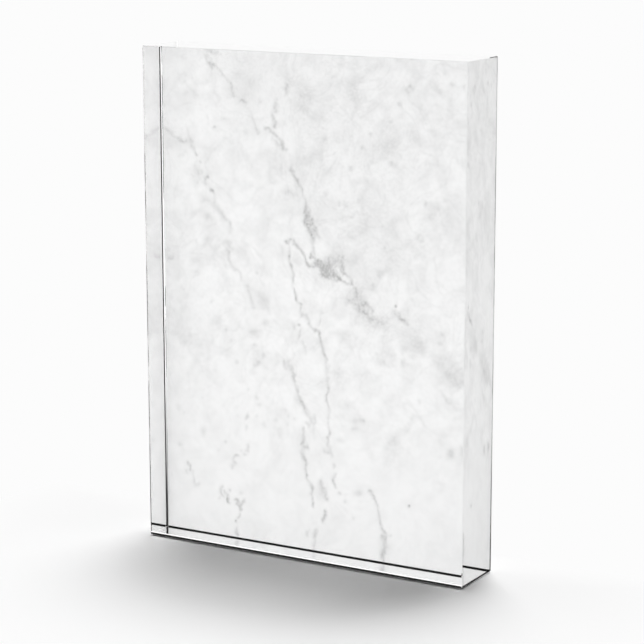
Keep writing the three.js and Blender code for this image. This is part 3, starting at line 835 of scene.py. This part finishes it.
def sheet_material(name, light, dark, roughness, grain_scale, grain_height):
    """A plain sheet: slightly uneven in colour, with a fine grain that stands up by so many metres."""
    material, tree, output = new_material(name)
    paint = tree.nodes.new("ShaderNodeBsdfPrincipled")
    colour = mix_colour(tree, noise_look(tree, **SHEET_TINT), light, dark)
    tree.links.new(colour, paint.inputs["Base Color"])
    satin = (roughness - SHEET_ROUGHNESS_SPREAD, roughness + SHEET_ROUGHNESS_SPREAD)
    tree.links.new(noise_look(tree, **SHEET_SATIN, look=satin), paint.inputs["Roughness"])
    add_bump(tree, paint, grain_scale, grain_height)
    tree.links.new(paint.outputs["BSDF"], output.inputs["Surface"])
    return material


def dress_sheets():
    for node, look in SHEETS.items():
        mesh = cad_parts[node].data
        mesh.materials.clear()
        mesh.materials.append(sheet_material(*look))


# Surroundings


def floor_material():
    """Matt and pale. Away from the block it passes into the white of the background. The light that it
    sends back to the block is even, as if the block's own shadow didn't lie on it, and the block's polished
    faces don't mirror it, so that their dark lines stay dark."""
    material, tree, output = new_material("floor")
    paint = tree.nodes.new("ShaderNodeBsdfDiffuse")
    paint.inputs["Color"].default_value = (FLOOR_COLOUR, FLOOR_COLOUR, FLOOR_COLOUR, 1)
    white = tree.nodes.new("ShaderNodeEmission")
    white.inputs["Strength"].default_value = BACKGROUND_WHITE
    glow = tree.nodes.new("ShaderNodeEmission")
    glow.inputs["Strength"].default_value = FLOOR_GLOW
    path = tree.nodes.new("ShaderNodeLightPath")
    place = tree.nodes.new("ShaderNodeTexCoord")
    length = tree.nodes.new("ShaderNodeVectorMath")
    length.operation = "LENGTH"
    tree.links.new(place.outputs["Object"], length.inputs[0])
    far = map_range(tree, length.outputs["Value"], *FLOOR_FADE, 0, 1)
    far = calculate(tree, "MAXIMUM", far, map_range(tree, place_along(tree, "Y"), *FLOOR_FADE_BACK, 0, 1))
    seen = mix_shader(tree, far, paint.outputs["BSDF"], white.outputs["Emission"])
    from_block = calculate(tree, "GREATER_THAN", path.outputs["Diffuse Depth"], 0.5)
    shown = mix_shader(tree, from_block, seen, glow.outputs["Emission"])
    unlit = tree.nodes.new("ShaderNodeEmission")
    unlit.inputs["Strength"].default_value = 0
    bounced = calculate(tree, "SUBTRACT", 1.0, path.outputs["Is Transmission Ray"])
    mirrored = calculate(tree, "MULTIPLY", path.outputs["Is Glossy Ray"], bounced)
    shown = mix_shader(tree, mirrored, shown, unlit.outputs["Emission"])
    tree.links.new(shown, output.inputs["Surface"])
    return material


def seen_ray(tree):
    """1 for a ray that comes from the camera, straight or by way of gloss or glass."""
    path = tree.nodes.new("ShaderNodeLightPath")
    either = calculate(tree, "MAXIMUM", path.outputs["Is Camera Ray"], path.outputs["Is Glossy Ray"])
    return calculate(tree, "MAXIMUM", either, path.outputs["Is Transmission Ray"])


def add_floor():
    mesh = bpy.data.meshes.new("floor")
    shape = bmesh.new()
    bmesh.ops.create_circle(shape, cap_ends=True, segments=96, radius=FLOOR_RADIUS)
    shape.to_mesh(mesh)
    shape.free()
    floor = bpy.data.objects.new("floor", mesh)
    floor.location.z = -FLOOR_GAP
    bpy.context.scene.collection.objects.link(floor)
    mesh.materials.append(floor_material())


def add_sun(name, azimuth, elevation, spread, strength):
    """A far lamp, unseen in gloss and glass. Azimuth 0 is behind the block, and positive to its right."""
    data = bpy.data.lights.new(name, "SUN")
    data.energy = strength
    data.angle = math.radians(spread)
    lamp = bpy.data.objects.new(name, data)
    bpy.context.scene.collection.objects.link(lamp)
    around, up = math.radians(azimuth), math.radians(elevation)
    towards = Vector((math.sin(around) * math.cos(up), math.cos(around) * math.cos(up), math.sin(up)))
    lamp.rotation_euler = towards.to_track_quat("Z", "Y").to_euler()
    lamp.visible_transmission = False
    lamp.visible_glossy = False


def light_sky():
    """An even sky, which the camera sees as the white background, also in gloss and through glass."""
    world = bpy.data.worlds.new("studio")
    bpy.context.scene.world = world
    world.use_nodes = True
    tree = world.node_tree
    tree.nodes.clear()
    light = tree.nodes.new("ShaderNodeBackground")
    light.inputs["Strength"].default_value = SKY_LIGHT
    light.inputs["Color"].default_value = (1, 1, 1, 1)
    seen = tree.nodes.new("ShaderNodeBackground")
    seen.inputs["Strength"].default_value = BACKGROUND_WHITE
    seen.inputs["Color"].default_value = (1, 1, 1, 1)
    output = tree.nodes.new("ShaderNodeOutputWorld")
    shown = mix_shader(tree, seen_ray(tree), light.outputs["Background"], seen.outputs["Background"])
    tree.links.new(shown, output.inputs["Surface"])


add_camera()
add_slab()
add_print()
dress_sheets()
add_floor()
light_sky()
add_sun("key", KEY_AZIMUTH, KEY_ELEVATION, KEY_SPREAD, KEY_STRENGTH)
add_sun("fill", FILL_AZIMUTH, FILL_ELEVATION, FILL_SPREAD, FILL_STRENGTH)
bpy.context.scene.view_settings.view_transform = "Standard"
